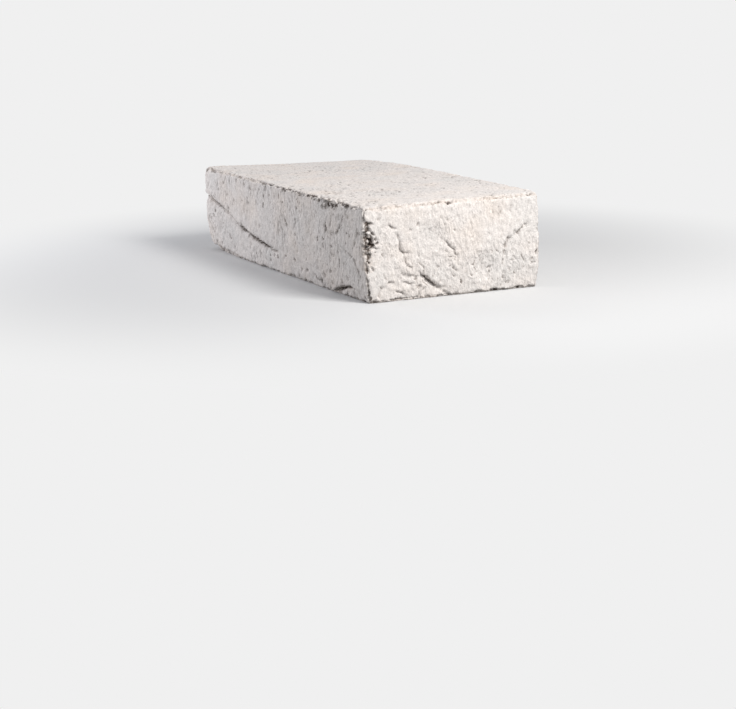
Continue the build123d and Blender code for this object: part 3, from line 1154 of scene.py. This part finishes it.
@dataclass(frozen=True)
class SandFacedClay:
    """Fired cream clay, thrown into a sanded mould: dead matt, gritty, with dark core clay where it broke
    open and painted shade in its creases, wrinkles and hollows.

    Attributes:
        name: name of the material.
        body: colour of the fired clay.
        warm: its warmer patches.
        cool: its cooler patches.
        speck: specks in the sand.
        worn: clay that shows where the sand is rubbed off.
        core_and_shade_colour: dark core clay that shows where pieces broke off, also used as painted shade in
            creases, wrinkles and hollows.
        patch_mm: size of the warm and cool patches.
        speck_mm: size of the specks, drawn coarser than the real ones, which are too fine to show.
        grain_mm: size of the sand grains, drawn coarser than the real ones, which are too fine to show.
        streak_mm: size of the short upright streaks of the sides, along x, y and z.
        shade: how dark and how light the grains and streaks make the colour, as shares of it.
        streak_relief_mm: how high the streaks stand out.
        grain_relief_mm: how high the grains stand out.
        grain_strength: how much of that relief the light picks up.
        roughness: roughness of the clay, which is dead matt.
        specular: how much its surface glints, as Blender's specular level.
    """

    name: str = "sand_faced_cream_clay"
    body: str = "#F0E9E4"
    warm: Layer = Layer("#F1E7DF", 0.5, 0.68)
    cool: Layer = Layer("#EAE5E1", 0.5, 0.32)
    speck: Layer = Layer("#B9ADA5", 0.60, 0.78, 0.5)
    worn: Layer = Layer("#D3C5BA", 0.30, 0.7, 0.62)
    core_and_shade_colour: Layer = Layer("#5A4D44", 0.08, 0.6, 0.92)
    patch_mm: float = 24.0
    speck_mm: float = 1.6
    grain_mm: float = 0.8
    streak_mm: Place = (1.2, 1.2, 2.8)
    shade: Pair = (0.87, 1.09)
    streak_relief_mm: float = 0.85
    grain_relief_mm: float = 0.3
    grain_strength: float = 0.9
    roughness: float = 0.92
    specular: float = 0.22

    def streak_scale(self) -> tuple[float, ...]:
        """Give the scale of the streaks along x, y and z."""
        return tuple(1 / (size * MM) for size in self.streak_mm)

    def material(self) -> bpy.types.Material:
        """Make the material.

        Returns:
            A material that reads object coordinates and the brick's own attributes.
        """
        material = bpy.data.materials.new(self.name)
        material.use_nodes = True
        tree = material.node_tree
        tree.nodes.clear()
        place = add_node(tree, "ShaderNodeTexCoord").outputs["Object"]
        upright = add_node(tree, "ShaderNodeMapping", Vector=place, Scale=self.streak_scale()).outputs[0]
        patches, specks, grains, streaks = (
            add_node(tree, "ShaderNodeTexNoise", Vector=spot, Scale=scale, Detail=detail).outputs["Fac"]
            for spot, scale, detail in (
                (place, 1 / (self.patch_mm * MM), 3.0),
                (place, 1 / (self.speck_mm * MM), 2.0),
                (place, 1 / (self.grain_mm * MM), 2.0),
                (upright, 1.0, 2.0),
            )
        )
        # One attribute carries the darkening: dark core clay, and painted shade in creases, wrinkles and
        # hollows
        hollow, rubbed, skin = (
            add_node(tree, "ShaderNodeAttribute", {"attribute_name": name}).outputs["Fac"]
            for name in ("hollow", "rubbed", "skin")
        )

        # Worn clay, and the dark core clay with its painted shade, come and go with the specks, so that their
        # edges are crumbly
        ragged = add_node(tree, "ShaderNodeMath", {"operation": "MULTIPLY"}, _0=rubbed, _1=specks)
        crumbly = add_node(tree, "ShaderNodeMapRange", Value=specks, From_Min=0.40, From_Max=0.56,
                           To_Min=0.16, To_Max=1.0)
        broken = add_node(tree, "ShaderNodeMath", {"operation": "MULTIPLY"}, _0=hollow,
                          _1=crumbly.outputs[0])
        colour = linear(self.body)
        for pattern, layer in (
            (patches, self.warm),
            (patches, self.cool),
            (specks, self.speck),
            (ragged.outputs[0], self.worn),
            (broken.outputs[0], self.core_and_shade_colour),
        ):
            share = add_node(tree, "ShaderNodeMapRange", Value=pattern, From_Min=layer.start,
                             From_Max=layer.full, To_Max=layer.cover)
            mix = add_node(tree, "ShaderNodeMix", {"data_type": "RGBA"}, _0=share.outputs[0], _6=colour,
                           _7=linear(layer.colour))
            colour = mix.outputs[2]

        # Grains and streaks shade the colour and stand out in the relief
        darkest, lightest = self.shade
        for pattern in (grains, streaks):
            shade = add_node(tree, "ShaderNodeMapRange", Value=pattern, From_Min=0.3, From_Max=0.7,
                             To_Min=darkest, To_Max=lightest)
            tinted = add_node(tree, "ShaderNodeMix", {"data_type": "RGBA", "blend_type": "MULTIPLY"},
                              _0=1.0, _6=colour, _7=shade.outputs[0])
            colour = tinted.outputs[2]
        relief = add_node(tree, "ShaderNodeBump", Height=streaks, Strength=skin,
                          Distance=self.streak_relief_mm * MM)
        relief = add_node(tree, "ShaderNodeBump", Height=grains, Strength=self.grain_strength,
                          Distance=self.grain_relief_mm * MM, Normal=relief.outputs[0])
        clay = add_node(tree, "ShaderNodeBsdfPrincipled", Base_Color=colour, Roughness=self.roughness,
                        Specular_IOR_Level=self.specular, Normal=relief.outputs[0])
        add_node(tree, "ShaderNodeOutputMaterial", Surface=clay.outputs[0])
        return material


@dataclass(frozen=True)
class SoftBox:
    """A soft studio lamp that faces the brick.

    Attributes:
        name: what the lamp does.
        azimuth: where it stands, in degrees round from -Y towards +X.
        elevation: how high it stands, in degrees.
        distance: how far from the brick, in metres.
        size: the side of its square face, in metres.
        level: how bright a white face square to it renders, as a share of white.
        colour: the colour of its light.
    """

    name: str
    azimuth: float
    elevation: float
    distance: float
    size: float
    level: float
    colour: str = "#FFFFFF"

    def place(self, aim: Vector) -> None:
        """Add the lamp to the scene.

        Args:
            aim: the point that it faces.
        """
        lamp = bpy.data.lights.new(self.name, "AREA")
        lamp.size = self.size
        lamp.color = linear(self.colour)[:3]
        lamp.energy = self.level * math.pi**2 * self.distance**2
        turn, rise = math.radians(self.azimuth), math.radians(self.elevation)
        away = Vector((math.sin(turn) * math.cos(rise), -math.cos(turn) * math.cos(rise), math.sin(rise)))
        stand = bpy.data.objects.new(self.name, lamp)
        stand.location = aim + away * self.distance
        stand.rotation_euler = away.to_track_quat("Z", "Y").to_euler()
        bpy.context.scene.collection.objects.link(stand)


@dataclass(frozen=True)
class Studio:
    """The plain pale room, in metres: floor, surrounding light, lamps and camera.

    Attributes:
        paper: colour that the floor has further off, and that shows behind it.
        lit_paper: colour of the floor round the brick, where shadows fall on it.
        bounced_paper: colour of the floor for the light that it throws back.
        paper_blend: how far from the origin the lit paper starts to turn plain, and where it is plain.
        sky: colour of the light from all round.
        ambient: brightness of the light from all round, as a share of white.
        floor_side: the side of the square floor.
        lamps: the soft lamps.
        focal_pixels: focal length of the camera, in pixels.
        sensor_width: width of the camera's sensor, in millimetres.
        azimuth: where the camera stands, in degrees round from -Y towards +X.
        elevation: how high the camera stands, in degrees.
        roll: how far the camera is turned about its own line of sight, in degrees.
        distance: how far in front of the camera the origin lies.
        origin_pixel: the pixel that the origin falls on, from the left and from the top.
    """

    paper: str = "#F0F0F0"
    lit_paper: str = "#E2E2E2"
    bounced_paper: str = "#A2A2A2"
    paper_blend: Pair = (0.13, 0.30)
    sky: str = "#FAFBFF"
    ambient: float = 0.42
    floor_side: float = 60.0
    lamps: tuple[SoftBox, ...] = (
        SoftBox("key_lamp", 108.0, 37.0, 0.8, 0.3, 0.81, "#FFFEFC"),
        SoftBox("far_fill_lamp", -45.0, 9.0, 0.5, 0.25, 0.48, "#F6F8FF"),
    )
    focal_pixels: float = 1896.0
    sensor_width: float = 36.0
    azimuth: float = 63.51
    elevation: float = 12.21
    roll: float = -0.76
    distance: float = 1.0577
    origin_pixel: Pair = (363.0, 266.1)

    @staticmethod
    def seen_plainly(tree: bpy.types.NodeTree) -> bpy.types.NodeSocket:
        """Tell rays that show the paper, to the eye, in gloss or through glass, from rays that carry light.

        Args:
            tree: the node tree that asks.

        Returns:
            A socket that is 1 for a ray that shows the paper.
        """
        path = add_node(tree, "ShaderNodeLightPath")
        shown = path.outputs["Is Camera Ray"]
        for ray in ("Is Glossy Ray", "Is Transmission Ray"):
            either = add_node(tree, "ShaderNodeMath", {"operation": "MAXIMUM"}, _0=shown,
                              _1=path.outputs[ray])
            shown = either.outputs[0]
        return shown

    def paper_material(self) -> bpy.types.Material:
        """Make the floor's paper, which takes shadows round the brick and is even further off.

        Returns:
            The material.
        """
        material = bpy.data.materials.new("pale_paper")
        material.use_nodes = True
        tree = material.node_tree
        tree.nodes.clear()
        place = add_node(tree, "ShaderNodeTexCoord").outputs["Object"]
        reach = add_node(tree, "ShaderNodeVectorMath", {"operation": "LENGTH"}, _0=place).outputs["Value"]
        lit, plain = self.paper_blend
        far_share = add_node(tree, "ShaderNodeMapRange", {"interpolation_type": "SMOOTHSTEP"}, Value=reach,
                             From_Min=lit, From_Max=plain)
        seen = self.seen_plainly(tree)
        share = add_node(tree, "ShaderNodeMath", {"operation": "MULTIPLY"}, _0=far_share.outputs[0], _1=seen)
        colour = add_node(tree, "ShaderNodeMix", {"data_type": "RGBA"}, _0=seen,
                          _6=linear(self.bounced_paper), _7=linear(self.lit_paper))
        paper = add_node(tree, "ShaderNodeBsdfDiffuse", Color=colour.outputs[2])
        glow = add_node(tree, "ShaderNodeEmission", Color=linear(self.paper))
        mixed = add_node(tree, "ShaderNodeMixShader", _0=share.outputs[0], _1=paper.outputs[0],
                         _2=glow.outputs[0])
        add_node(tree, "ShaderNodeOutputMaterial", Surface=mixed.outputs[0])
        return material

    def lay_floor(self) -> bpy.types.Object:
        """Lay the pale floor that the brick lies on.

        Returns:
            The floor object.
        """
        sheet = bmesh.new()
        bmesh.ops.create_grid(sheet, x_segments=1, y_segments=1, size=self.floor_side / 2)
        mesh = bpy.data.meshes.new("studio_floor")
        sheet.to_mesh(mesh)
        sheet.free()
        mesh.materials.append(self.paper_material())
        floor = bpy.data.objects.new("studio_floor", mesh)
        bpy.context.scene.collection.objects.link(floor)
        return floor

    def surround(self) -> None:
        """Light the scene from all round, and show the paper's colour where the floor ends."""
        world = bpy.data.worlds.new("studio_surround")
        world.use_nodes = True
        tree = world.node_tree
        tree.nodes.clear()
        seen = self.seen_plainly(tree)
        light = add_node(tree, "ShaderNodeBackground", Color=linear(self.sky), Strength=self.ambient)
        paper = add_node(tree, "ShaderNodeBackground", Color=linear(self.paper), Strength=1.0)
        mixed = add_node(tree, "ShaderNodeMixShader", _0=seen, _1=light.outputs[0], _2=paper.outputs[0])
        add_node(tree, "ShaderNodeOutputWorld", Surface=mixed.outputs[0])
        bpy.context.scene.world = world

    def set_camera(self) -> None:
        """Set the camera so that the middle of the lower bed, the frame's origin, falls on its pixel."""
        lens = bpy.data.cameras.new("photo_camera")
        lens.sensor_width = self.sensor_width
        lens.lens = self.focal_pixels * self.sensor_width / IMAGE_WIDTH
        camera = bpy.data.objects.new("photo_camera", lens)
        turn = (
            Matrix.Rotation(math.radians(self.azimuth), 3, "Z")
            @ Matrix.Rotation(math.radians(90 - self.elevation), 3, "X")
            @ Matrix.Rotation(math.radians(self.roll), 3, "Z")
        )
        right, rise, back = turn.col
        across = (self.origin_pixel[0] - IMAGE_WIDTH / 2) / self.focal_pixels
        down = (self.origin_pixel[1] - IMAGE_HEIGHT / 2) / self.focal_pixels
        place = -self.distance * (right * across - rise * down - back)
        camera.matrix_world = Matrix.Translation(place) @ turn.to_4x4()
        bpy.context.scene.collection.objects.link(camera)
        bpy.context.scene.camera = camera

    def build(self, low: Vector, high: Vector) -> None:
        """Set up the whole studio round the brick's box.

        Args:
            low: lowest corner of the box, in metres.
            high: highest corner of the box, in metres.
        """
        bpy.context.scene.view_settings.view_transform = "Standard"
        self.lay_floor()
        self.surround()
        for lamp in self.lamps:
            lamp.place((low + high) / 2)
        self.set_camera()


def main() -> None:
    """Load the frame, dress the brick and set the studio."""
    logging.basicConfig(level=logging.INFO, format="%(message)s")
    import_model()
    low, high = (Vector(corner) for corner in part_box("brick"))

    maker = MouldedBrick(tuple(low / MM), tuple(high / MM))
    brick = maker.build()
    brick.data.materials.append(SandFacedClay().material())
    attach(brick, "root")
    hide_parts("brick")
    LOG.info("%s: %d triangles", brick.name, len(brick.data.polygons))

    Studio().build(low, high)


if __name__ == "__main__":
    main()
